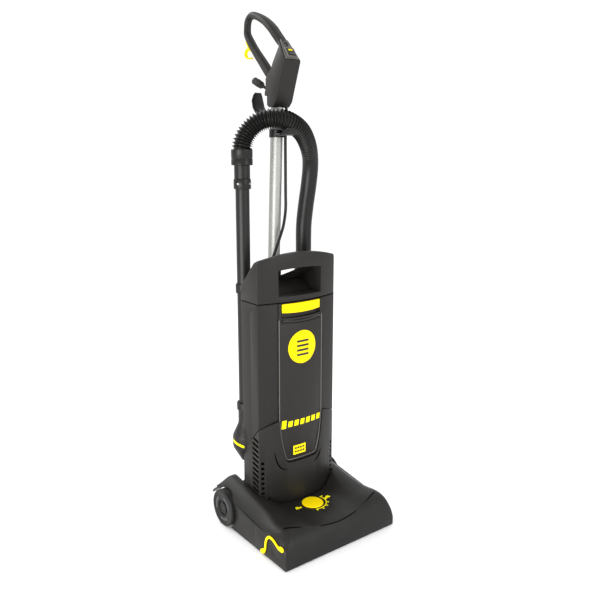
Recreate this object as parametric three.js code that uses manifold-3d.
// Upright vacuum cleaner with a 300 mm brush, for commercial use. Millimetres, +Z up.
// Every piece is drawn with x = 0 in the middle, y = 0 at the front of the bumper and growing to
// the back, and z = 0 on the floor. The whole group is then moved so that the origin is in the
// middle of the footprint.
import * as THREE from "three";
import { mergeVertices } from "three/addons/utils/BufferGeometryUtils.js";
import Module from "manifold-3d";

const wasm = await Module();
wasm.setup();

// ---- driving dimensions ----
const DEPTH = 382; // bumper to the back of the cord clip
const WALL = 3; // moulded shells
const GAP = 0.4; // between pieces that touch

const NOZZLE_HALF = 163;
const BUMPER = { reach: 42, base: 20, top: 79, power: 0.42 }; // quarter round of the front
const RIDGE = 130; // the crest along each side of the top cover
const SEAM = { front: 12, bow: 35, at: 150 }; // front edge of the top cover in plan
const COVER_REAR = 290;
const COVER_FLOOR = 66; // the level middle of the top cover
const FLOOR_CLEAR = 3; // underside of the nozzle

const PIVOT = { y: 215, z: 70 }; // recline axis, and the motor shaft
const BRUSH = { y: 42, z: 27, core: 16, tip: 26 };
const WHEEL = { y: 252, z: 45, radius: 45, outer: 171, width: 24 };
const ROLLER = { x: 62, y: 104, radius: 12, width: 20 };
const DIAL = { y: 112, radius: 26.5, height: 8 };
const PEDAL = { y: 254, z: 78, pin: 2.5 };

const BODY_HALF = 112.5;
const CORNER_Y = 175; // front corner edges of the body
const SIDE_REAR = 241;
const SPINE = { half: 75, rear: 286 }; // the deeper middle of the back
const CAP = { bottom: 560, corner: 657, peak: 673, rear: 597 };
const OPENING = { half: 62, bottom: 572, side: 634, top: 638 };
const FRONT_SHELL = { top: 558, rear: 206.5 };
const DOOR = { top: 558, panelHalf: 64, thickness: 3.5, floorBow: 158.5 };
const SHELF = 284; // between the bag chamber and the motor
const LATCH = { half: 55, bottom: 536, top: 556.5 };

const TUBE = { low: [271.8, 560], high: [251, 1003], halfX: 14, halfY: 15 };
const WAND = { x: -94, y: 258, radius: 16 };
const HOSE = { radius: 19.5, portX: 91, portY: 268, portZ: 612 };
const GRIP_HALF = 23; // handle block

// ---- solids from three.js geometry ----
function toSolid(geometry) {
  const plain = geometry.index ? geometry.toNonIndexed() : geometry.clone();
  plain.deleteAttribute("normal");
  plain.deleteAttribute("uv");
  const merged = mergeVertices(plain, 1e-4);
  const triVerts = new Uint32Array(merged.index.array);
  const vertProperties = merged.attributes.position.array;
  const made = new wasm.Manifold(new wasm.Mesh({ numProp: 3, vertProperties, triVerts }));
  if (made.volume() > 0) return made;
  triVerts.reverse(); // a profile drawn the other way round
  return new wasm.Manifold(new wasm.Mesh({ numProp: 3, vertProperties, triVerts }));
}

function toGeometry(solid) {
  const mesh = solid.getMesh();
  const geometry = new THREE.BufferGeometry();
  geometry.setAttribute("position", new THREE.BufferAttribute(mesh.vertProperties, 3));
  geometry.setIndex(new THREE.BufferAttribute(mesh.triVerts, 1));
  return geometry;
}

const join = (...solids) => solids.reduce((sum, next) => sum.add(next));
const cut = (first, ...tools) => tools.reduce((left, tool) => left.subtract(tool), first);
const meet = (...solids) => solids.reduce((common, next) => common.intersect(next));
const shifted = (solid, x, y, z) => solid.translate([x, y, z]);
const mirrored = (solid) => solid.mirror([1, 0, 0]);

function box(x0, x1, y0, y1, z0, z1) {
  const geometry = new THREE.BoxGeometry(x1 - x0, y1 - y0, z1 - z0);
  geometry.translate((x0 + x1) / 2, (y0 + y1) / 2, (z0 + z1) / 2);
  return toSolid(geometry);
}

function outline(points) {
  return new THREE.Shape(points.map(([a, b]) => new THREE.Vector2(a, b)));
}

// Extrudes a flat shape along one axis. Its two coordinates are (y, z), (x, z) or (x, y).
function prism(axis, shape, start, end, curveSegments = 12) {
  const depth = end - start;
  const flat = new THREE.ExtrudeGeometry(shape, { depth, bevelEnabled: false, curveSegments });
  const bases = {
    x: [new THREE.Vector3(0, 1, 0), new THREE.Vector3(0, 0, 1), new THREE.Vector3(1, 0, 0)],
    y: [new THREE.Vector3(1, 0, 0), new THREE.Vector3(0, 0, 1), new THREE.Vector3(0, -1, 0)],
    z: [new THREE.Vector3(1, 0, 0), new THREE.Vector3(0, 1, 0), new THREE.Vector3(0, 0, 1)],
  };
  flat.applyMatrix4(new THREE.Matrix4().makeBasis(...bases[axis]));
  const offset = { x: [start, 0, 0], y: [0, end, 0], z: [0, 0, start] }[axis];
  flat.translate(...offset);
  return toSolid(flat);
}

// A solid of revolution about a line along an axis through (u, v). Profile: [radius, along].
function turned(axis, profile, u, v, sides = 16) {
  const points = profile.map(([radius, along]) => new THREE.Vector2(radius, along));
  const geometry = new THREE.LatheGeometry(points, sides);
  if (axis === "x") geometry.rotateZ(-Math.PI / 2);
  if (axis === "z") geometry.rotateX(Math.PI / 2);
  const offset = { x: [0, u, v], y: [u, 0, v], z: [u, v, 0] }[axis];
  geometry.translate(...offset);
  return toSolid(geometry);
}

function rod(axis, radius, start, end, u, v, sides = 16) {
  const profile = [[0, start], [radius, start], [radius, end], [0, end]];
  return turned(axis, profile, u, v, sides);
}

function ring(axis, outer, inner, start, end, u, v, sides = 16) {
  return cut(
    rod(axis, outer, start, end, u, v, sides),
    rod(axis, inner, start - 1, end + 1, u, v, sides),
  );
}

// A closed skin over rings of points with the same count, the first and last ones capped.
function loft(rings) {
  const count = rings[0].length;
  const last = (rings.length - 1) * count;
  const faces = [];
  for (let i = 0; i < last; i += count) {
    for (let j = 0; j < count; j++) {
      const next = (j + 1) % count;
      faces.push(i + j, i + next, i + next + count, i + j, i + next + count, i + j + count);
    }
  }
  for (let j = 1; j + 1 < count; j++) {
    faces.push(0, j + 1, j, last, last + j, last + j + 1);
  }
  const geometry = new THREE.BufferGeometry().setFromPoints(rings.flat());
  geometry.setIndex(faces);
  return toSolid(geometry);
}

// A bar of rounded section along a path in the plane x = 0: stations [y, z, width, thickness].
// The section is a superellipse: squareness 1 gives an ellipse, and less gives squarer corners.
function bentBar(stations, squareness = 0.7, sides = 12) {
  const path = stations.map(([y, z]) => new THREE.Vector2(y, z));
  const rings = stations.map(([y, z, width, thickness], i) => {
    const before = path[Math.max(i - 1, 0)];
    const after = path[Math.min(i + 1, path.length - 1)];
    const along = after.clone().sub(before).normalize();
    return Array.from({ length: sides }, (_, k) => {
      const angle = ((k + 0.5) / sides) * 2 * Math.PI;
      const across = Math.sign(Math.cos(angle)) * Math.abs(Math.cos(angle)) ** squareness;
      const up = Math.sign(Math.sin(angle)) * Math.abs(Math.sin(angle)) ** squareness;
      const lift = (up * thickness) / 2;
      return new THREE.Vector3((across * width) / 2, y - along.y * lift, z + along.x * lift);
    });
  });
  return loft(rings);
}

function cordAlong(points, radius, sides, steps) {
  const path = new THREE.CatmullRomCurve3(points.map((p) => new THREE.Vector3(...p)));
  const section = outline(
    Array.from({ length: sides }, (_, k) => {
      const angle = (k / sides) * 2 * Math.PI;
      return [radius * Math.cos(angle), radius * Math.sin(angle)];
    }),
  );
  return toSolid(new THREE.ExtrudeGeometry(section, { steps, extrudePath: path }));
}

// ---- forms that several pieces share ----
const seamY = (x) => {
  const beyond = Math.max(Math.abs(x) - SEAM.at, 0) / (NOZZLE_HALF - SEAM.at);
  return SEAM.front + SEAM.bow * Math.min(Math.abs(x) / SEAM.at, 1.1) ** 2 + 28 * beyond ** 2;
};
const smooth = (low, high, value) => THREE.MathUtils.smoothstep(value, low, high);
const lerp = THREE.MathUtils.lerp;

// Where the side walls meet the top cover: a line that climbs to the back.
function sideEdgeZ(y) {
  const behind = Math.min(y, 258) - 91;
  return 56.4 + 0.073 * behind + 0.00058 * behind ** 2;
}

const quarter = (share) => Math.max(1 - share ** 2, 0);

function bumperRise(y) {
  const before = Math.max((BUMPER.reach - y) / BUMPER.reach, 0);
  return BUMPER.base + (BUMPER.top - BUMPER.base) * quarter(before) ** BUMPER.power;
}

// Height at the very ends of the nozzle: low at the front corners, then the side edge.
function endZ(y) {
  const corner = SEAM.at - 65;
  const before = Math.max((corner - y) / corner, 0);
  const side = sideEdgeZ(Math.max(y, corner)) + WALL;
  return BUMPER.base + (side - BUMPER.base) * Math.sqrt(quarter(before));
}

// Rounded over at the front corners, and a straight slope further back.
function overEnd(x, y, inside) {
  const share = Math.max(Math.abs(x) - RIDGE, 0) / (NOZZLE_HALF - RIDGE);
  const straight = smooth(50, 110, y);
  const left = Math.max(1 - share ** lerp(3, 1.25, straight), 0) ** lerp(0.5, 0.9, straight);
  return endZ(y) + (inside - endZ(y)) * left;
}

const bumperZ = (x, y) => overEnd(x, y, bumperRise(y));

// Height of the top cover: a level valley in the middle and a ridge along each side.
function coverZ(x, y) {
  const valley = Math.min(bumperRise(y), COVER_FLOOR);
  const climbing = 72.5 + 0.17 * (y - 45) + 6.5 * (1 - smooth(BUMPER.reach, 80, y));
  const ridge = y < BUMPER.reach ? bumperRise(y) : climbing;
  const inside = lerp(valley, ridge, smooth(60, 118, Math.abs(x)));
  const drop = Math.sqrt(quarter(Math.max((y - 267) / 23.5, 0)));
  const side = endZ(258);
  const whole = overEnd(x, y, inside);
  return y > 267 ? side + (Math.max(whole, side) - side) * drop : whole;
}

const COVER_HALF = [0, 45, 60, 75, 90, 105, 118, 126, RIDGE, 138, 146, 153, 158, 161.5, NOZZLE_HALF];
const COVER_COLUMNS = [...COVER_HALF.slice(1).map((x) => -x).reverse(), ...COVER_HALF];

function coverSkin(thickness) {
  const rows = [0, 0.05, 0.12, 0.2, 0.34, 0.6, 0.91, 0.945, 0.975, 0.99, 1];
  const rings = COVER_COLUMNS.map((x) => {
    const top = rows.map((v) => {
      const y = lerp(seamY(x), COVER_REAR, v);
      return new THREE.Vector3(x, y, coverZ(x, y));
    });
    const under = top.map((p) => new THREE.Vector3(p.x, p.y, p.z - thickness));
    return [...top, ...under.reverse()];
  });
  return loft(rings);
}

// The front of the nozzle: a quarter round along x, rounded over at both ends.
function bumperForm(inset) {
  const front = Array.from({ length: 8 }, (_, i) => (
    BUMPER.reach * (1 - Math.cos((i / 8) * (Math.PI / 2)))
  ));
  const rings = COVER_COLUMNS.map((x) => {
    const across = x * (1 - inset / NOZZLE_HALF);
    const top = [...front, BUMPER.reach, 60, 75, 90, 110, 150].map((y) => (
      new THREE.Vector3(across, y + inset, bumperZ(x, y) - inset)
    ));
    const floor = FLOOR_CLEAR - inset;
    return [
      new THREE.Vector3(across, inset, floor), ...top, new THREE.Vector3(across, 150 + inset, floor),
    ];
  });
  return loft(rings);
}

// Everything in front of the seam, or behind it and above the side walls.
function seamZone(behind, clearance) {
  const side = seamY(NOZZLE_HALF) + clearance;
  const middle = COVER_COLUMNS.map((x) => [x, seamY(x) + clearance]);
  const edge = [[-168, side], ...middle, [168, side]];
  const far = behind ? 300 : -5;
  return prism("z", outline([...edge, [168, far], [-168, far]]), -5, 200);
}

function belowSideEdge(clearance) {
  const edge = [258, 230, 200, 170, 140, 110, 80].map((y) => [y, sideEdgeZ(y) - clearance]);
  const points = [[-5, -5], [300, -5], [300, edge[0][1]], ...edge, [-5, edge.at(-1)[1]]];
  return prism("x", outline(points), -170, 170);
}

// Plan of the body: bowed front, straight sides and a deeper spine in the middle of the back.
function bodyPlan(inset, bow, rear) {
  const half = BODY_HALF - inset;
  const spine = SPINE.half - inset;
  const shape = new THREE.Shape();
  shape.moveTo(-half, SIDE_REAR - inset);
  shape.lineTo(-half, CORNER_Y + inset * 0.6);
  shape.quadraticCurveTo(0, 2 * (bow + inset) - CORNER_Y - inset * 0.6, half, CORNER_Y + inset * 0.6);
  shape.lineTo(half, SIDE_REAR - inset);
  shape.lineTo(spine, SIDE_REAR - inset);
  shape.lineTo(spine, rear - inset);
  shape.lineTo(-spine, rear - inset);
  shape.lineTo(-spine, SIDE_REAR - inset);
  return shape;
}
const FRONT_BOW = 156.5; // y of the middle of the front
const PANEL_BOW = 153.5; // the centre panel stands proud
const LOWER_BOW = 148;
const DRUM = 46; // the round foot of the body, about the recline axis

// The lower covers end on an arch that falls to the back.
function belowArch(clearance) {
  const points = [
    [130, 277], [157, 276], [167, 267], [177, 257], [190, 243], [206, 226], [220, 210], [232, 198],
    [250, 184], [300, 160],
  ];
  const top = points.map(([y, z]) => [y, z - clearance]);
  return prism("x", outline([...top, [300, 0], [130, 0]]), -130, 130);
}

function panelOutline(inset) {
  const half = DOOR.panelHalf - inset;
  const shape = new THREE.Shape();
  shape.moveTo(-half, DOOR.top);
  shape.lineTo(-half, 285);
  shape.quadraticCurveTo(-half, 245, -half + 7, 215);
  shape.lineTo(-48 + inset, 178 + inset);
  shape.quadraticCurveTo(-46 + inset, 166 + inset, -34, 166 + inset);
  shape.lineTo(34, 166 + inset);
  shape.quadraticCurveTo(46 - inset, 166 + inset, 48 - inset, 178 + inset);
  shape.lineTo(half - 7, 215);
  shape.quadraticCurveTo(half, 245, half, 285);
  shape.lineTo(half, DOOR.top);
  return shape;
}

// ---- nozzle ----
function frontBumper() {
  const shell = cut(bumperForm(0), bumperForm(WALL));
  const middle = prism("y", outline([
    [-155.6, 0], [-155.6, 50], [-138.6, 74], [-138.6, 90],
    [138.6, 90], [138.6, 74], [155.6, 50], [155.6, 0],
  ]), -2, 80);
  return meet(shell, seamZone(false, -GAP), middle);
}

function endPlate() {
  const corner = prism("y", outline([
    [-170, 0], [-156, 0], [-156, 50], [-139, 74], [-139, 90], [-170, 90],
  ]), -2, 122);
  const shell = meet(cut(bumperForm(0), bumperForm(WALL)), corner);
  return cut(shell, cut(seamZone(true, -GAP), belowSideEdge(GAP)));
}

function topCover() {
  const pocket = new THREE.Shape();
  pocket.moveTo(-116, 290);
  pocket.lineTo(-116, 174);
  pocket.quadraticCurveTo(0, 108, 116, 174);
  pocket.lineTo(116, 290);
  const dialHole = rod("z", DIAL.radius + 1.5, 40, 120, 0, DIAL.y, 32);
  const cover = cut(coverSkin(WALL), prism("z", pocket, 40, 160, 12), dialHole);
  const arches = [-1, 1].map((side) => (
    rod("x", WHEEL.radius + 3.5, side * 160 - 10, side * 160 + 10, WHEEL.y, WHEEL.z, 24)
  ));
  const cup = cut(
    rod("z", DIAL.radius + 3.5, 55, 63.5, 0, DIAL.y, 32),
    rod("z", DIAL.radius + 1.5, 57, 70, 0, DIAL.y, 32),
    rod("z", 7, 50, 60, 0, DIAL.y, 12),
  );
  return cut(join(cover, cup), ...arches);
}

// The suction duct runs from the brush chamber through the left arm to the hollow trunnion.
const DUCT_ROUTE = [
  [-100, 73, 34], [-101, 84, 34], [-108, 110, 34], [-124, 140, 38], [-131, 170, 50],
  [-131.5, 195, 62],
];
const DUCT = { outer: 10.5, inner: 9 };

function baseFrame() {
  const tray = cut(
    box(-156, 156, 80, 150, 8, 54.6),
    box(-153, 153, 83, 147, 11, 60),
    box(-30, 30, 92, 138, 5, 14),
    ...[-ROLLER.x, ROLLER.x].map((x) => box(x - 13, x + 13, 88, 120, 5, 14)),
  );
  const hood = cut(
    join(
      rod("x", 31, -150, 150, BRUSH.y, BRUSH.z, 16),
      box(-150, 150, BRUSH.y - 31, 81, 6, BRUSH.z),
    ),
    rod("x", 28.5, -147, 147, BRUSH.y, BRUSH.z, 16),
    box(-147, 147, BRUSH.y - 28.5, BRUSH.y + 28.5, 0, BRUSH.z),
    rod("x", 12, -151, 151, BRUSH.y, BRUSH.z, 14),
    box(-151, 151, 0, 90, -10, 6),
  );
  const armOutline = outline([
    [148, 8], [204, 8], [204, 30], [262, 30], [266, 50], [266, 66], [263, 76], [256, 84],
    [248, 88], [148, 66],
  ]);
  const arm = cut(
    join(
      prism("x", armOutline, -121, -117.5),
      prism("x", armOutline, -145, -142),
      box(-144, -118, 263, 266, 34, 64),
      ring("x", 27, 20.6, -127, -117.5, PIVOT.y, PIVOT.z, 16),
      box(-161, -118, 122.4, 204, 8, 11),
      meet(box(-NOZZLE_HALF, -160, 122.4, 240, FLOOR_CLEAR, 90), belowSideEdge(GAP)),
    ),
    rod("x", WHEEL.radius + 3.5, -170, -150, WHEEL.y, WHEEL.z, 24),
    box(-170, -150, 228, 300, -1, 95),
    rod("x", 20.6, -130, -110, PIVOT.y, PIVOT.z, 16),
    rod("x", 5.3, -150, -110, WHEEL.y, WHEEL.z, 12),
    rod("x", PEDAL.pin + 0.3, -150, -110, PEDAL.y, PEDAL.z, 12),
  );
  const beltPath = box(126.5, 141, 56, 152, 13, 62);
  const ductPath = cordAlong(DUCT_ROUTE, DUCT.outer + GAP, 10, 8);
  return cut(join(tray, hood, arm, mirrored(arm)), beltPath, ductPath);
}

function suctionDuct() {
  return cut(
    cordAlong(DUCT_ROUTE, DUCT.outer, 10, 8),
    cordAlong([[-100, 69, 34], ...DUCT_ROUTE, [-131.5, 199, 65]], DUCT.inner, 10, 8),
  );
}

function solePlate() {
  return cut(
    box(-156, 156, 4, 148, FLOOR_CLEAR, 5.6),
    box(-146, 146, 17, 68, 0, 8),
    ...[-ROLLER.x, ROLLER.x].map((x) => box(x - 13, x + 13, 88, 120, 0, 8)),
    box(-28, 28, 94, 136, 0, 8),
  );
}

function brushRoller() {
  const core = turned("x", [
    [0, -148], [5, -148], [5, -141], [BRUSH.core, -141], [BRUSH.core, 125], [5, 125], [5, 148],
    [0, 148],
  ], BRUSH.y, BRUSH.z, 12);
  const rows = [0, 1, 2, 3].map((i) => {
    const bristles = box(-132, 120, -2.5, 2.5, BRUSH.core - 3, BRUSH.tip);
    return shifted(bristles.rotate([i * 90 + 45, 0, 0]), 0, BRUSH.y, BRUSH.z);
  });
  return join(core, ...rows);
}

const PULLEY = { start: 128, end: 139, brush: 12, motor: 9 };
const SHAFT = 5;

function pulley(radius, at, bore) {
  const { start, end } = PULLEY;
  return turned("x", [
    [bore, start], [radius + 2, start], [radius + 2, start + 1.2], [radius, start + 1.2],
    [radius, end - 1.2], [radius + 2, end - 1.2], [radius + 2, end], [bore, end], [bore, start],
  ], at.y, at.z, 14);
}

// A flat belt: the outline round both pulleys less the same outline one belt thickness inside.
function driveBelt() {
  const loop = (extra) => {
    const run = new THREE.Vector2(PIVOT.y - BRUSH.y, PIVOT.z - BRUSH.z);
    const tilt = Math.atan2(run.y, run.x);
    const lean = Math.asin((PULLEY.brush - PULLEY.motor) / run.length());
    const shape = new THREE.Shape();
    const up = tilt + Math.PI / 2 - lean;
    const down = tilt - Math.PI / 2 + lean;
    shape.absarc(BRUSH.y, BRUSH.z, PULLEY.brush + extra, up, down + 2 * Math.PI, false);
    shape.absarc(PIVOT.y, PIVOT.z, PULLEY.motor + extra, down, up, false);
    return shape;
  };
  const { start, end } = PULLEY;
  return cut(
    prism("x", loop(1.9), start + 1.6, end - 1.6, 10),
    prism("x", loop(GAP), start, end, 10),
  );
}

// Carries one end of the brush: a round plate in the nozzle side.
function brushBearing() {
  const plate = turned("x", [[0, 144], [11.5, 144], [11.5, 152], [0, 152]], BRUSH.y, BRUSH.z, 14);
  return cut(plate, rod("x", SHAFT + GAP, 130, 149, BRUSH.y, BRUSH.z, 12));
}

// The left bearing reaches out through the end plate to the release lever.
function releaseBearing() {
  const stub = rod("x", 7, 151, 166, BRUSH.y, BRUSH.z, 14);
  const arm = box(163.5, 166, 20, BRUSH.y, 25, 32);
  return mirrored(join(brushBearing(), stub, arm));
}

// The yellow bow on the left end plate, a pad at each foot.
function brushLever() {
  const bow = bentBar([
    [92, 9, 3, 8], [82, 15, 3, 8], [75, 24, 3, 6], [73.5, 38, 3, 6], [68, 51, 3, 6],
    [58, 59.5, 3, 6], [47, 59, 3, 6], [36, 54, 3, 6], [26, 50, 3, 7], [19, 50.5, 3, 11],
    [12, 52, 3, 11], [8, 53, 3, 7],
  ], 0.6, 8);
  const web = box(-1.5, 1.5, 34, 40, 34.6, 56);
  return cut(
    shifted(join(bow, web), -NOZZLE_HALF - 2, 0, 0),
    box(-166.4, -163.1, 19.6, 43, 24.6, 32.4),
  );
}

function heightDial() {
  const { radius, height } = DIAL;
  return turned("z", [
    [5.4, 46], [6.5, 46], [6.5, 57.4], [radius - 1, 57.4], [radius, 58.4],
    [radius, 57.4 + height], [radius - 2, 59.4 + height], [0, 59.4 + height], [0, 58], [5.4, 58],
    [5.4, 46],
  ], 0, DIAL.y, 24);
}

function rollerCarriage() {
  const bar = box(11.5 - ROLLER.x, ROLLER.x - 11.5, 98, 110, 15, 19);
  const post = rod("z", 5, 17, 45.6, 0, DIAL.y, 12);
  const foot = box(-8, 8, 104, 120, 15, 19);
  const forks = [-ROLLER.x, ROLLER.x].map((x) => cut(
    box(x - 12.3, x + 12.3, 98, 110, 6, 28),
    box(x - 10.5, x + 10.5, 90, 118, 5, 25),
  ));
  const pins = rod("x", 2.9, -80, 80, ROLLER.y, ROLLER.radius, 12);
  return cut(join(bar, post, foot, ...forks), pins);
}

function frontRoller(side) {
  const { radius } = ROLLER;
  const half = ROLLER.width / 2;
  const roller = turned("x", [
    [0, -half - 2], [2.5, -half - 2], [2.5, -half], [radius - 1, -half], [radius, 1 - half],
    [radius, half - 1], [radius - 1, half], [2.5, half], [2.5, half + 2], [0, half + 2],
  ], ROLLER.y, ROLLER.radius, 16);
  return shifted(roller, side * ROLLER.x, 0, 0);
}

function rearWheel() {
  const { radius, width, outer } = WHEEL;
  const bore = SHAFT + GAP;
  const wheel = turned("x", [
    [bore, 0], [12, 0], [12, 4], [radius - 8, 4], [radius - 6, 0], [radius - 2, 0], [radius, 2],
    [radius, width - 3], [radius - 3, width], [20, width], [18, width - 2.5], [13, width - 2.5],
    [12, width - 7], [bore, width - 7], [bore, 0],
  ], WHEEL.y, WHEEL.z, 24);
  return shifted(wheel, outer - width, 0, 0);
}

function wheelAxle() {
  return turned("x", [
    [0, 119], [SHAFT, 119], [SHAFT, 165], [9, 165], [9, 167], [7, 168.5], [0, 168.5],
  ], WHEEL.y, WHEEL.z, 14);
}

// A blade above the left wheel, on a pin across the arm.
function footPedal() {
  const strip = outline([
    [251, 79], [262, 86], [280, 86], [296, 80], [312, 69], [324, 57], [322, 54], [310, 64.5],
    [294, 76], [280, 82], [264, 82], [255, 74],
  ]);
  const plan = outline([
    [-141, 245], [-122, 245], [-122, 262], [-124, 284], [-135, 294], [-135, 318], [-140, 330],
    [-153, 330], [-158, 318], [-158, 290], [-146, 286], [-146, 268], [-141, 262],
  ]);
  const boss = rod("x", 5.5, -141, -122, PEDAL.y, PEDAL.z, 14);
  const pin = rod("x", PEDAL.pin, -145.6, -117.8, PEDAL.y, PEDAL.z, 12);
  return join(meet(prism("x", strip, -170, -110), prism("z", plan, 40, 100)), boss, pin);
}

// ---- body, lower part ----
const SKIRT = { low: 60, rear: 165 }; // the front of the body dips into the nozzle's pocket

function lowerForm(inset) {
  const plan = prism("z", bodyPlan(inset, LOWER_BOW, 264), 20, 300);
  const side = prism("x", outline([
    [120, 300], [120, SKIRT.low + inset], [SKIRT.rear - inset, SKIRT.low + inset],
    [SKIRT.rear - inset, 86 + inset], [268, 86 + inset], [268, 300],
  ]), -120, 120);
  const drumHalf = BODY_HALF - inset;
  const drum = rod("x", DRUM - inset, -drumHalf, drumHalf, PIVOT.y, PIVOT.z, 24);
  return join(meet(plan, side, belowArch(inset)), drum);
}

const VENT = { count: 11, frontCount: 7, pitch: 12.8, low: 96, height: 7, front: 177, rear: 203 };

function sideVents() {
  return Array.from({ length: VENT.count }, (_, i) => {
    const z = VENT.low + i * VENT.pitch;
    const underArch = 226 - (z + VENT.height - 226) * 0.9 - 24;
    const rear = z > 205 ? Math.min(VENT.rear, underArch) : VENT.rear;
    return prism("x", outline([
      [VENT.front, z], [rear, z + 5], [rear, z + 5 + VENT.height], [VENT.front, z + VENT.height],
    ]), -120, 120);
  });
}

// Small slots beside the lower ones, round the front corners.
function cornerVents() {
  return Array.from({ length: VENT.frontCount * 2 }, (_, i) => {
    const z = VENT.low - 3 + Math.floor(i / 2) * VENT.pitch;
    const slot = box(100, 108, 140, 182, z, z + VENT.height);
    return i % 2 ? slot : mirrored(slot);
  });
}

const TRUNNION = { outer: 20, inner: 14, end: 126 };

function lowerShell() {
  const trunnion = rod("x", TRUNNION.outer, -TRUNNION.end, TRUNNION.end, PIVOT.y, PIVOT.z, 16);
  const bore = rod("x", TRUNNION.inner, -130, 130, PIVOT.y, PIVOT.z, 16);
  const inner = lowerForm(WALL);
  return cut(join(lowerForm(0), trunnion), inner, bore);
}

function motorHousing(shell) {
  const rear = box(-130, 130, 206.4, 300, 0, 300);
  const drum = box(-130, 130, SKIRT.rear + 2, 210, 0, 85.6);
  const end = box(BODY_HALF + GAP, 130, 190, 240, 40, 100);
  return meet(shell, join(rear, drum, end, mirrored(end)));
}

// A plate that follows the bow of the body's front, between two depths.
function bowedPlate(shape, frontBow, backBow, segments = 8) {
  const block = prism("y", shape, 120, 174, segments);
  const front = prism("z", bodyPlan(0, frontBow, SIDE_REAR + 4), 100, 700);
  const back = prism("z", bodyPlan(0, backBow, SIDE_REAR + 4), 90, 710);
  return meet(block, cut(front, back));
}

const rect = (half, low, high) => outline([[-half, low], [half, low], [half, high], [-half, high]]);

// The lower cover bulges round the foot of the door, which lies in a recess.
function lowerCover(shell) {
  const zone = join(
    box(-BODY_HALF, BODY_HALF, 120, 206, 86, 300),
    box(-BODY_HALF, BODY_HALF, 120, SKIRT.rear, SKIRT.low - 1, 87),
  );
  const skin = cut(meet(shell, zone, belowArch(1)), ...sideVents(), ...cornerVents());
  const floor = meet(
    bowedPlate(panelOutline(-4), LOWER_BOW + 1, DOOR.floorBow + WALL),
    belowArch(1),
  );
  return cut(join(skin, floor), bowedPlate(panelOutline(-1), 130, DOOR.floorBow));
}

function motorCan() {
  const can = turned("x", [
    [0, -62], [28, -62], [40, -52], [40, 50], [30, 60], [16, 62], [16, 72], [0, 72],
  ], PIVOT.y, PIVOT.z, 16);
  return cut(can, rod("x", SHAFT + GAP, -70, 80, PIVOT.y, PIVOT.z, 12));
}

function motorShaft() {
  const shaft = rod("x", SHAFT, -92, 141, PIVOT.y, PIVOT.z, 12);
  return join(shaft, pulley(PULLEY.motor, PIVOT, SHAFT - 1));
}

function fanHousing() {
  return turned("x", [
    [20, -98], [42, -98], [42, -64.5], [8, -64.5], [8, -67.5], [39, -67.5], [39, -95], [20, -95],
    [20, -98],
  ], PIVOT.y, PIVOT.z, 16);
}

function fanImpeller() {
  const bore = SHAFT + GAP;
  const disc = turned("x", [
    [bore, -70], [36, -70], [36, -72], [14, -72], [14, -90], [bore, -90], [bore, -70],
  ], PIVOT.y, PIVOT.z, 16);
  const blades = Array.from({ length: 8 }, (_, i) => {
    const blade = box(-90, -71, -0.8, 0.8, 13, 36);
    return shifted(blade.rotate([i * 45, 0, 0]), 0, PIVOT.y, PIVOT.z);
  });
  return join(disc, ...blades);
}

// ---- body, upper part ----
function upperForm(inset, low, high) {
  return prism("z", bodyPlan(inset, FRONT_BOW, SPINE.rear), low, high, 12);
}

function frontZone(clearance) {
  const rear = FRONT_SHELL.rear + clearance;
  const top = FRONT_SHELL.top + clearance;
  return prism("x", outline([[120, 100], [rear, 100], [rear, 536], [179, top], [120, top]]), -130, 130);
}

function mainHousing() {
  const shell = cut(
    upperForm(0, 150, CAP.bottom - GAP),
    upperForm(WALL, SHELF + WALL, CAP.bottom - GAP - WALL),
    upperForm(WALL, 100, SHELF),
    frontZone(GAP),
    belowArch(-GAP),
  );
  const spineTop = meet(
    prism("z", bodyPlan(0, FRONT_BOW, SPINE.rear), CAP.bottom - GAP - 1, CAP.rear),
    box(-SPINE.half, SPINE.half, SIDE_REAR + GAP, 300, 500, 700),
  );
  const spineHollow = box(-72, 72, 245, 283, 530, CAP.rear - WALL);
  const portHole = rod("x", 12, 60, 80, HOSE.portY, 579, 14);
  const filterHole = rod("z", 22, 270, 300, 0, 215, 16);
  return cut(join(shell, spineTop), spineHollow, portHole, filterHole);
}

function capForm(inset) {
  const half = BODY_HALF - inset;
  const { corner, peak } = CAP;
  const front = new THREE.Shape();
  front.moveTo(-half, CAP.bottom - inset);
  front.lineTo(-half, corner - 6 - inset);
  front.quadraticCurveTo(-half, corner - inset, -half + 8, corner + 2 - inset);
  front.quadraticCurveTo(0, 2 * peak - corner - 2 - inset, half - 8, corner + 2 - inset);
  front.quadraticCurveTo(half, corner - inset, half, corner - 6 - inset);
  front.lineTo(half, CAP.bottom - inset);
  const slope = outline([
    [120, 500], [120, 700], [168, 700], [178, CAP.corner + 8 - inset],
    [SIDE_REAR - inset, CAP.rear - inset], [SIDE_REAR - inset, 500],
  ]);
  return meet(
    upperForm(inset, CAP.bottom - inset, 700),
    prism("y", front, 120, 300, 12),
    prism("x", slope, -130, 130),
  );
}

function tunnel(grow) {
  const { half, bottom, side, top } = OPENING;
  const mouth = new THREE.Shape();
  mouth.moveTo(-half - grow, bottom - 10 - grow);
  mouth.lineTo(-half - grow, side + grow);
  mouth.quadraticCurveTo(0, 2 * top - side + grow, half + grow, side + grow);
  mouth.lineTo(half + grow, bottom - 10 - grow);
  const floor = outline([
    [130, bottom - grow], [196, bottom + 2 - grow], [228, 596 - grow], [250, 600 - grow],
    [250, 700], [130, 700],
  ]);
  return meet(prism("y", mouth, 130, 250), prism("x", floor, -80, 80));
}

function topCap() {
  const shell = cut(capForm(0), capForm(WALL));
  const lining = meet(capForm(0), tunnel(WALL));
  return cut(join(shell, lining), tunnel(0));
}

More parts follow.
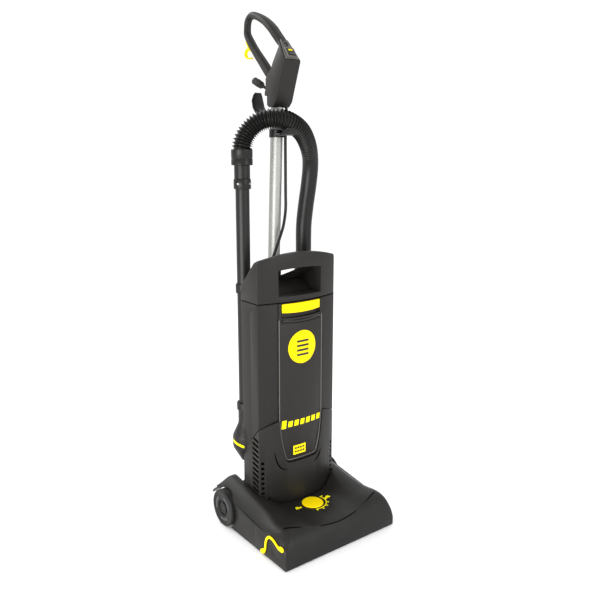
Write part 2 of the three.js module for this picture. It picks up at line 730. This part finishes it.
function latchOutline(half, low, high, bow) {
  const shape = new THREE.Shape();
  shape.moveTo(-half, high);
  shape.lineTo(-half, low);
  shape.quadraticCurveTo(0, low - bow, half, low);
  shape.lineTo(half, high);
  return shape;
}

// The front shell carries the door between its two long edges.
function frontShell() {
  return cut(
    meet(upperForm(0, 200, FRONT_SHELL.top), frontZone(0)),
    upperForm(WALL, 150, FRONT_SHELL.top - WALL),
    belowArch(-1.6),
    prism("y", panelOutline(-GAP), 120, 171.5),
  );
}

// A long bowed panel that opens forward about its lower end.
function bagDoor() {
  const panel = bowedPlate(panelOutline(GAP), PANEL_BOW, PANEL_BOW + DOOR.thickness);
  const pocketFloor = bowedPlate(rect(DOOR.panelHalf - 2, 508, DOOR.top - GAP), FRONT_BOW, 168);
  const pocket = bowedPlate(latchOutline(58, 524, 700, 5), 140, 165);
  const groove = bowedPlate(latchOutline(57, 511, 517, 5), 140, 157);
  return cut(join(panel, pocketFloor), pocket, groove);
}

function doorLatch() {
  return bowedPlate(latchOutline(LATCH.half, LATCH.bottom, LATCH.top, 5), 151.5, 157);
}

function roundPlate(radius, x, z, frontBow, backBow) {
  const shape = new THREE.Shape();
  shape.absarc(x, z, radius, 0, 2 * Math.PI, false);
  return bowedPlate(shape, frontBow, backBow, 36);
}

const emblemDisc = () => roundPlate(40, 0, 449, PANEL_BOW - 1.6, PANEL_BOW - GAP);

function filterBag() {
  const bag = upperForm(11, 296, 524);
  return cut(bag, box(-130, 130, 120, 176, 200, 600));
}

function bagCollar() {
  const plate = meet(upperForm(WALL + GAP, 527, 530), box(-130, 130, 210, 300, 500, 540));
  return cut(plate, rod("z", 17, 500, 540, 20, 240, 16));
}

// ---- suction path outside the body ----
function wandSocket() {
  const outer = turned("z", [
    [0, 152], [12, 152], [32, 186], [33, 214], [23, 246], [18.6, 262], [18.6, 282], [21.5, 284],
    [21.5, 302], [0, 302],
  ], WAND.x, WAND.y, 16);
  const bore = rod("z", WAND.radius + 0.6, 262, 310, WAND.x, WAND.y, 16);
  const beside = join(
    box(-130, -60, 200, SIDE_REAR + GAP, 100, 320),
    box(-SPINE.half - GAP, -40, 200, 300, 100, 320),
  );
  return cut(outer, bore, beside);
}

function wandClip() {
  const ringPart = ring("z", 20.5, WAND.radius + 0.5, 574, 596, WAND.x, WAND.y, 16);
  const mouth = box(-125, WAND.x - 9, WAND.y + 6, 300, 560, 610);
  const foot = box(WAND.x - 12, WAND.x + 12, SIDE_REAR + GAP, 244, 574, 596);
  const bodySide = box(-130, -60, 200, SIDE_REAR + GAP, 560, 610);
  const spineSide = box(-SPINE.half - GAP, -40, 200, 300, 560, 610);
  const hollow = rod("z", WAND.radius + 0.5, 560, 610, WAND.x, WAND.y, 16);
  return cut(join(ringPart, foot), mouth, bodySide, spineSide, hollow);
}

function wandTube() {
  return ring("z", WAND.radius, WAND.radius - 1.6, 264, 822, WAND.x, WAND.y, 16);
}

function wandCollar() {
  return ring("z", 20, WAND.radius + GAP, 815, 838, WAND.x, WAND.y, 16);
}

function wandConnector() {
  return turned("z", [
    [15, 822.4], [15.8, 822.4], [15.8, 838.4], [18.2, 838.4], [18.2, 868], [15, 868], [15, 822.4],
  ], WAND.x, WAND.y, 16);
}

function hoseCuff() {
  return turned("z", [
    [17, 868.4], [24, 868.4], [24.5, 880], [24.5, 904], [20.5, 904], [20.5, 880], [17, 880],
    [17, 868.4],
  ], WAND.x, WAND.y, 16);
}

const HOSE_ROUTE = [
  [WAND.x, WAND.y, 881], [WAND.x, WAND.y, 905], [-88, 256, 929], [-75, 248, 950], [-58, 236, 965],
  [-38, 222, 971], [-11, 212, 969], [17, 211, 959], [45, 217, 944], [71, 229, 919], [89, 241, 891],
  [98, 251, 860], [99, 258, 821], [95, 264, 770], [HOSE.portX, 267, 720],
  [HOSE.portX, HOSE.portY, 658], [HOSE.portX, HOSE.portY, 600],
];

function hose() {
  return cordAlong(HOSE_ROUTE, HOSE.radius, 12, 34);
}

function hosePort() {
  const { portX, portY, portZ, radius } = HOSE;
  const socket = turned("z", [
    [0, 562], [20, 562], [23.5, 568], [23.5, portZ], [0, portZ],
  ], portX, portY, 16);
  const bore = rod("z", radius + 0.6, 599.6, 700, portX, portY, 16);
  const throat = rod("z", 14, 566, 605, portX, portY, 14);
  const inlet = rod("x", 9, 50, portX, portY, 579, 14);
  const spineSide = box(-10, SPINE.half + GAP, 200, 300, 500, CAP.rear + GAP);
  const bodySide = box(60, 130, 200, SIDE_REAR + GAP, 500, 640);
  const stub = rod("x", 11.6, 66, 80, portY, 579, 16);
  return cut(join(cut(socket, spineSide, bodySide), stub), bore, throat, inlet);
}

// ---- handle ----
const tubeLean = (TUBE.high[0] - TUBE.low[0]) / (TUBE.high[1] - TUBE.low[1]);
const tubeY = (z) => TUBE.low[0] + (z - TUBE.low[1]) * tubeLean;

// The oval tube, or a sleeve round it, between two heights.
function tubeForm(grow, low, high, sides = 16) {
  const rings = [low, high].map((z) => Array.from({ length: sides }, (_, k) => {
    const angle = (k / sides) * 2 * Math.PI;
    const x = (TUBE.halfX + grow) * Math.cos(angle);
    return new THREE.Vector3(x, tubeY(z) + (TUBE.halfY + grow) * Math.sin(angle), z);
  }));
  return loft(rings);
}

function tubeSleeve(outer, inner, low, high) {
  return cut(tubeForm(outer, low, high), tubeForm(inner, low - 1, high + 1));
}

const TUBE_ENDS = [601, 1022];

function handleTube() {
  return tubeSleeve(0, -1.6, ...TUBE_ENDS);
}

function tubeSocket() {
  const flange = box(-19, 19, 246, 285.6, CAP.rear + GAP, CAP.rear + 3.4);
  const collar = tubeSleeve(4, GAP, CAP.rear + 3, 622);
  return join(flange, collar);
}

const GRIP_BLOCK = [
  [192, 1097], [224, 1010], [236, 998], [252, 998], [268, 1004], [268, 1032], [264, 1040],
  [264, 1062], [240, 1085], [222, 1127], [226, 1142],
];
const GRIP_LOOP = [
  [222, 1131, 23, 14], [233, 1140, 23, 18], [251.5, 1157.6, 24, 18], [267.5, 1172.7, 24, 18],
  [291.4, 1190, 22, 17], [319.7, 1204, 19, 16], [346.2, 1212.5, 17, 15], [361, 1208.5, 16, 14],
  [368.5, 1199.5, 16, 14], [371, 1186, 16, 14], [370.5, 1173, 17, 15], [361.4, 1159.4, 18, 16],
  [337, 1131.6, 18, 18], [307.5, 1103, 19, 20], [284, 1080, 20, 21], [258, 1056, 20, 20],
];

function grownLoop(grow) {
  return bentBar(
    GRIP_LOOP.map(([y, z, width, thickness]) => [y, z, width + 2 * grow, thickness + 2 * grow]),
  );
}

// The handle is two mouldings that meet in the middle.
function handleHalf(side) {
  const front = outline([
    [-23, 990], [-23, 1092], [-12, 1150], [12, 1150], [23, 1092], [23, 990],
  ]);
  const block = meet(prism("x", outline(GRIP_BLOCK), -GRIP_HALF, GRIP_HALF), prism("y", front, 150, 300));
  const whole = cut(
    join(block, grownLoop(0)),
    tubeForm(GAP, 980, TUBE_ENDS[1] + GAP),
    inletForm(GAP),
    onPanel(box(-30, 30, -4, 56, 0.1, 30)),
    onPanel(rod("z", RESET.radius + 1, -4, 1, 0, RESET.along, 14)),
    ...[-1, 1].map((side) => prism("z", outline([
      [side * 16, 270], [side * 23.1, 250], [side * 30, 250], [side * 30, 275], [side * 16, 275],
    ]), 980, 1024)),
    rod("z", 3.9, 990, 1001, LEAD_ROUTE[0][0], LEAD_ROUTE[0][1], 12),
  );
  const half = box(0.15, 40, 150, 400, 950, 1300);
  return meet(whole, side > 0 ? half : mirrored(half));
}

// The switch panel leans back: drawn flat with y up the panel and z out of it, then tilted.
const PANEL = { y: 192, z: 1097, tilt: 52.9 };
const onPanel = (solid) => shifted(solid.rotate([PANEL.tilt, 0, 0]), 0, PANEL.y, PANEL.z);
const ROCKER = { half: 10, low: 8, high: 26, pivot: 17, top: 8 };
const RESET = { along: 43, radius: 6 };

function handlePanel() {
  const plate = prism("z", outline([[-19, 2], [19, 2], [10.5, 55], [-10.5, 55]]), GAP, 2.4);
  const frame = cut(
    box(-12.5, 12.5, 5.5, 28.5, 2, 6),
    box(-ROCKER.half - GAP, ROCKER.half + GAP, ROCKER.low - 0.7, ROCKER.high + 0.7, 2.4, 10),
  );
  const collar = rod("z", RESET.radius + 2, 2, 3.6, 0, RESET.along, 14);
  const hole = rod("z", RESET.radius + GAP, 0, 10, 0, RESET.along, 14);
  return onPanel(cut(join(plate, frame, collar), hole));
}

function powerRocker() {
  const { half, low, high, pivot, top } = ROCKER;
  const side = outline([
    [low, 5.4], [pivot - 3, 5.2], [pivot, 3], [pivot + 3, 5.2], [high, 5.4], [high, top - 1],
    [pivot, top - 2.4], [low, top],
  ]);
  const key = prism("x", side, -half, half);
  return onPanel(cut(key, box(-5.4, 5.4, 19.6, 24.4, 5.9, 12)));
}

function rockerLens() {
  return onPanel(box(-5, 5, 20, 24, 6.3, 7.6));
}

function resetButton() {
  const { along, radius } = RESET;
  return onPanel(turned("z", [
    [0, -1], [radius, -1], [radius, 4.6], [radius - 1.5, 6.2], [0, 6.8],
  ], 0, along, 14));
}

// The mains inlet at the back of the handle: a stiff neck that ends in a ridged plug body.
const INLET = { y: 262, z: 1030, tilt: -66.8, neck: 3.4, body: 52, length: 88 };

function inletForm(grow) {
  const shank = turned("z", [
    [0, -5 - grow], [6 + grow, -5 - grow], [6 + grow, 4 + grow], [5.2 + grow, 5 + grow],
    [5.2 + grow, 14], [0, 14],
  ], 0, 0, 12);
  return shifted(shank.rotate([INLET.tilt, 0, 0]), 0, INLET.y, INLET.z);
}

function cordInlet() {
  const { neck, body, length } = INLET;
  const sleeve = turned("z", [
    [0, 2], [5, 8], [neck, 30], [neck, body - 4], [6.5, body], [9, length - 2], [8, length],
    [0, length],
  ], 0, 0, 14);
  const pinRecess = box(-4, 4, -2.5, 2.5, length - 12, length + 1);
  const open = cut(sleeve, pinRecess).rotate([INLET.tilt, 0, 0]);
  return join(inletForm(0), shifted(open, 0, INLET.y, INLET.z));
}

// A strap on the underside of the loop that curls into a small open ring.
function cordClip() {
  const strap = bentBar([
    [374, 1158, 9, 3], [369.5, 1149, 9, 4], [363, 1141, 9, 4], [356, 1133.5, 9, 4],
  ], 0.6, 8);
  const curl = bentBar([
    [360, 1139, 9, 4], [369, 1139.5, 9, 4], [377, 1135, 9, 4], [380, 1128, 9, 4],
    [376, 1121, 9, 4], [366, 1117.5, 9, 4], [354, 1117, 9, 4],
  ], 0.6, 8);
  return cut(join(strap, curl), grownLoop(GAP));
}

function cordHook(root, stations) {
  return join(root, bentBar(stations, 0.5, 12));
}

const HOOK_LEAN = THREE.MathUtils.radToDeg(Math.atan(-tubeLean)); // the tube leans forward

// Turns about the tube to let the coiled cord go.
function upperCordHook() {
  const collar = ring("z", 17.6, 15.6, -13, 13, 0, 0, 20).rotate([HOOK_LEAN, 0, 0]);
  const rear = tubeY(985) + TUBE.halfY;
  return cordHook(shifted(collar, 0, tubeY(981), 981), [
    [rear + 1.2, 980, 20, 14], [rear + 14, 981, 24, 12], [300, 984, 30, 9], [316, 990, 34, 7],
    [327, 1002, 34, 6], [332, 1018, 33, 5], [331, 1030, 26, 4.5], [329, 1036, 18, 4],
  ]);
}

function lowerCordHook() {
  const plate = box(-20, 20, SPINE.rear + GAP, 291, 470, 520);
  return cordHook(plate, [
    [289, 496, 24, 18], [304, 492, 26, 12], [326, 484, 32, 8], [342, 474, 34, 6],
    [352, 462, 30, 5], [356, 452, 22, 4],
  ]);
}

function hoseHook() {
  const front = tubeY(941) - TUBE.halfY;
  return cordHook(tubeSleeve(3, GAP, 931, 951), [
    [front - 1.5, 935, 26, 8], [front - 8, 933, 38, 6], [213, 933, 42, 5], [198, 935, 40, 5],
    [188, 942, 34, 5], [184, 953, 26, 4],
  ]);
}

const LEAD = 3.5;
const LEAD_ROUTE = [
  [18, 240.5, 999], [19.2, 240.5, 985], [19.2, 242, 965], [19, 245, 937], [18.8, 245, 902],
  [18.2, 244, 868],
  [17.5, 243, 833], [16.5, 241.5, 798], [15.5, 240, 770], [12.2, 239, 747], [5.3, 237, 723],
  [-4.5, 236, 700], [-14.8, 237, 675], [-22, 242, 650], [-28, 250, 628], [-30, 254, 606.6],
];

function lead() {
  return cordAlong(LEAD_ROUTE, LEAD, 8, 24);
}

function leadGrommet() {
  const [x, y] = LEAD_ROUTE.at(-1);
  return turned("z", [
    [0, CAP.rear + GAP], [9, CAP.rear + GAP], [9, CAP.rear + 3], [6, 605.6], [0, 605.6],
  ], x, y, 14);
}

// ---- the pieces and their materials ----
const FINISHES = {
  shell: { color: 0x35363a, roughness: 0.5, metalness: 0 },
  nozzle: { color: 0x2b2c2f, roughness: 0.6, metalness: 0 },
  panel: { color: 0x3a3b40, roughness: 0.4, metalness: 0 },
  yellow: { color: 0xf2c400, roughness: 0.35, metalness: 0 },
  black: { color: 0x161617, roughness: 0.6, metalness: 0 },
  rubber: { color: 0x1c1c1d, roughness: 0.85, metalness: 0 },
  aluminium: { color: 0xb9bbbf, roughness: 0.3, metalness: 1 },
  steel: { color: 0x8c8f94, roughness: 0.35, metalness: 1 },
  paper: { color: 0xe8e2d2, roughness: 0.9, metalness: 0 },
  bristle: { color: 0x18181a, roughness: 0.9, metalness: 0 },
};
const MATERIALS = Object.fromEntries(
  Object.entries(FINISHES).map(([name, look]) => [name, new THREE.MeshStandardMaterial(look)]),
);

const lower = lowerShell();
const PIECES = [
  ["base_frame", "nozzle", baseFrame()],
  ["top_cover", "nozzle", topCover()],
  ["front_bumper", "rubber", frontBumper()],
  ["end_plate_left", "nozzle", cut(endPlate(), rod("x", 7.4, -170, -150, BRUSH.y, BRUSH.z))],
  ["end_plate_right", "nozzle", mirrored(endPlate())],
  ["sole_plate", "steel", solePlate()],
  ["suction_duct", "black", suctionDuct()],
  ["brush_roller", "bristle", brushRoller()],
  ["brush_pulley", "black", pulley(PULLEY.brush, BRUSH, SHAFT + GAP)],
  ["brush_bearing_right", "black", brushBearing()],
  ["brush_bearing_left", "black", releaseBearing()],
  ["brush_lever", "yellow", brushLever()],
  ["drive_belt", "rubber", driveBelt()],
  ["height_dial", "yellow", heightDial()],
  ["roller_carriage", "black", rollerCarriage()],
  ["front_roller_left", "black", frontRoller(-1)],
  ["front_roller_right", "black", frontRoller(1)],
  ["wheel_axle_left", "steel", mirrored(wheelAxle())],
  ["wheel_axle_right", "steel", wheelAxle()],
  ["rear_wheel_left", "rubber", mirrored(rearWheel())],
  ["rear_wheel_right", "rubber", rearWheel()],
  ["foot_pedal", "black", footPedal()],
  ["motor_shaft", "steel", motorShaft()],
  ["fan_impeller", "black", fanImpeller()],
  ["motor", "aluminium", motorCan()],
  ["fan_housing", "black", fanHousing()],
  ["motor_housing", "shell", motorHousing(lower)],
  ["lower_cover", "shell", lowerCover(lower)],
  ["exhaust_filter", "paper", box(-60, 60, 168, 198, 136, 216)],
  ["main_housing", "shell", mainHousing()],
  ["top_cap", "shell", topCap()],
  ["filter_bag", "paper", filterBag()],
  ["bag_collar", "black", bagCollar()],
  ["front_shell", "shell", frontShell()],
  ["bag_door", "panel", bagDoor()],
  ["emblem_disc", "yellow", emblemDisc()],
  ["door_latch", "yellow", doorLatch()],
  ["suction_socket", "black", wandSocket()],
  ["wand_clip", "black", wandClip()],
  ["wand_tube", "black", wandTube()],
  ["wand_collar", "black", wandCollar()],
  ["wand_connector", "black", wandConnector()],
  ["hose_cuff", "black", hoseCuff()],
  ["hose", "black", hose()],
  ["hose_port", "black", hosePort()],
  ["hose_hook", "black", hoseHook()],
  ["handle_tube", "aluminium", handleTube()],
  ["tube_socket", "black", tubeSocket()],
  ["handle_left", "shell", handleHalf(-1)],
  ["handle_right", "shell", handleHalf(1)],
  ["handle_panel", "black", handlePanel()],
  ["power_rocker", "black", powerRocker()],
  ["rocker_lens", "yellow", rockerLens()],
  ["reset_button", "black", resetButton()],
  ["cord_inlet", "black", cordInlet()],
  ["cord_clip", "yellow", cordClip()],
  ["cord_hook_upper", "black", upperCordHook()],
  ["cord_hook_lower", "black", lowerCordHook()],
  ["lead", "black", lead()],
  ["lead_grommet", "black", leadGrommet()],
];

const vacuum = new THREE.Group();
for (const [name, material, solid] of PIECES) {
  const mesh = new THREE.Mesh(toGeometry(solid), MATERIALS[material]);
  mesh.name = name;
  vacuum.add(mesh);
}
vacuum.position.y = -DEPTH / 2;

export default vacuum;
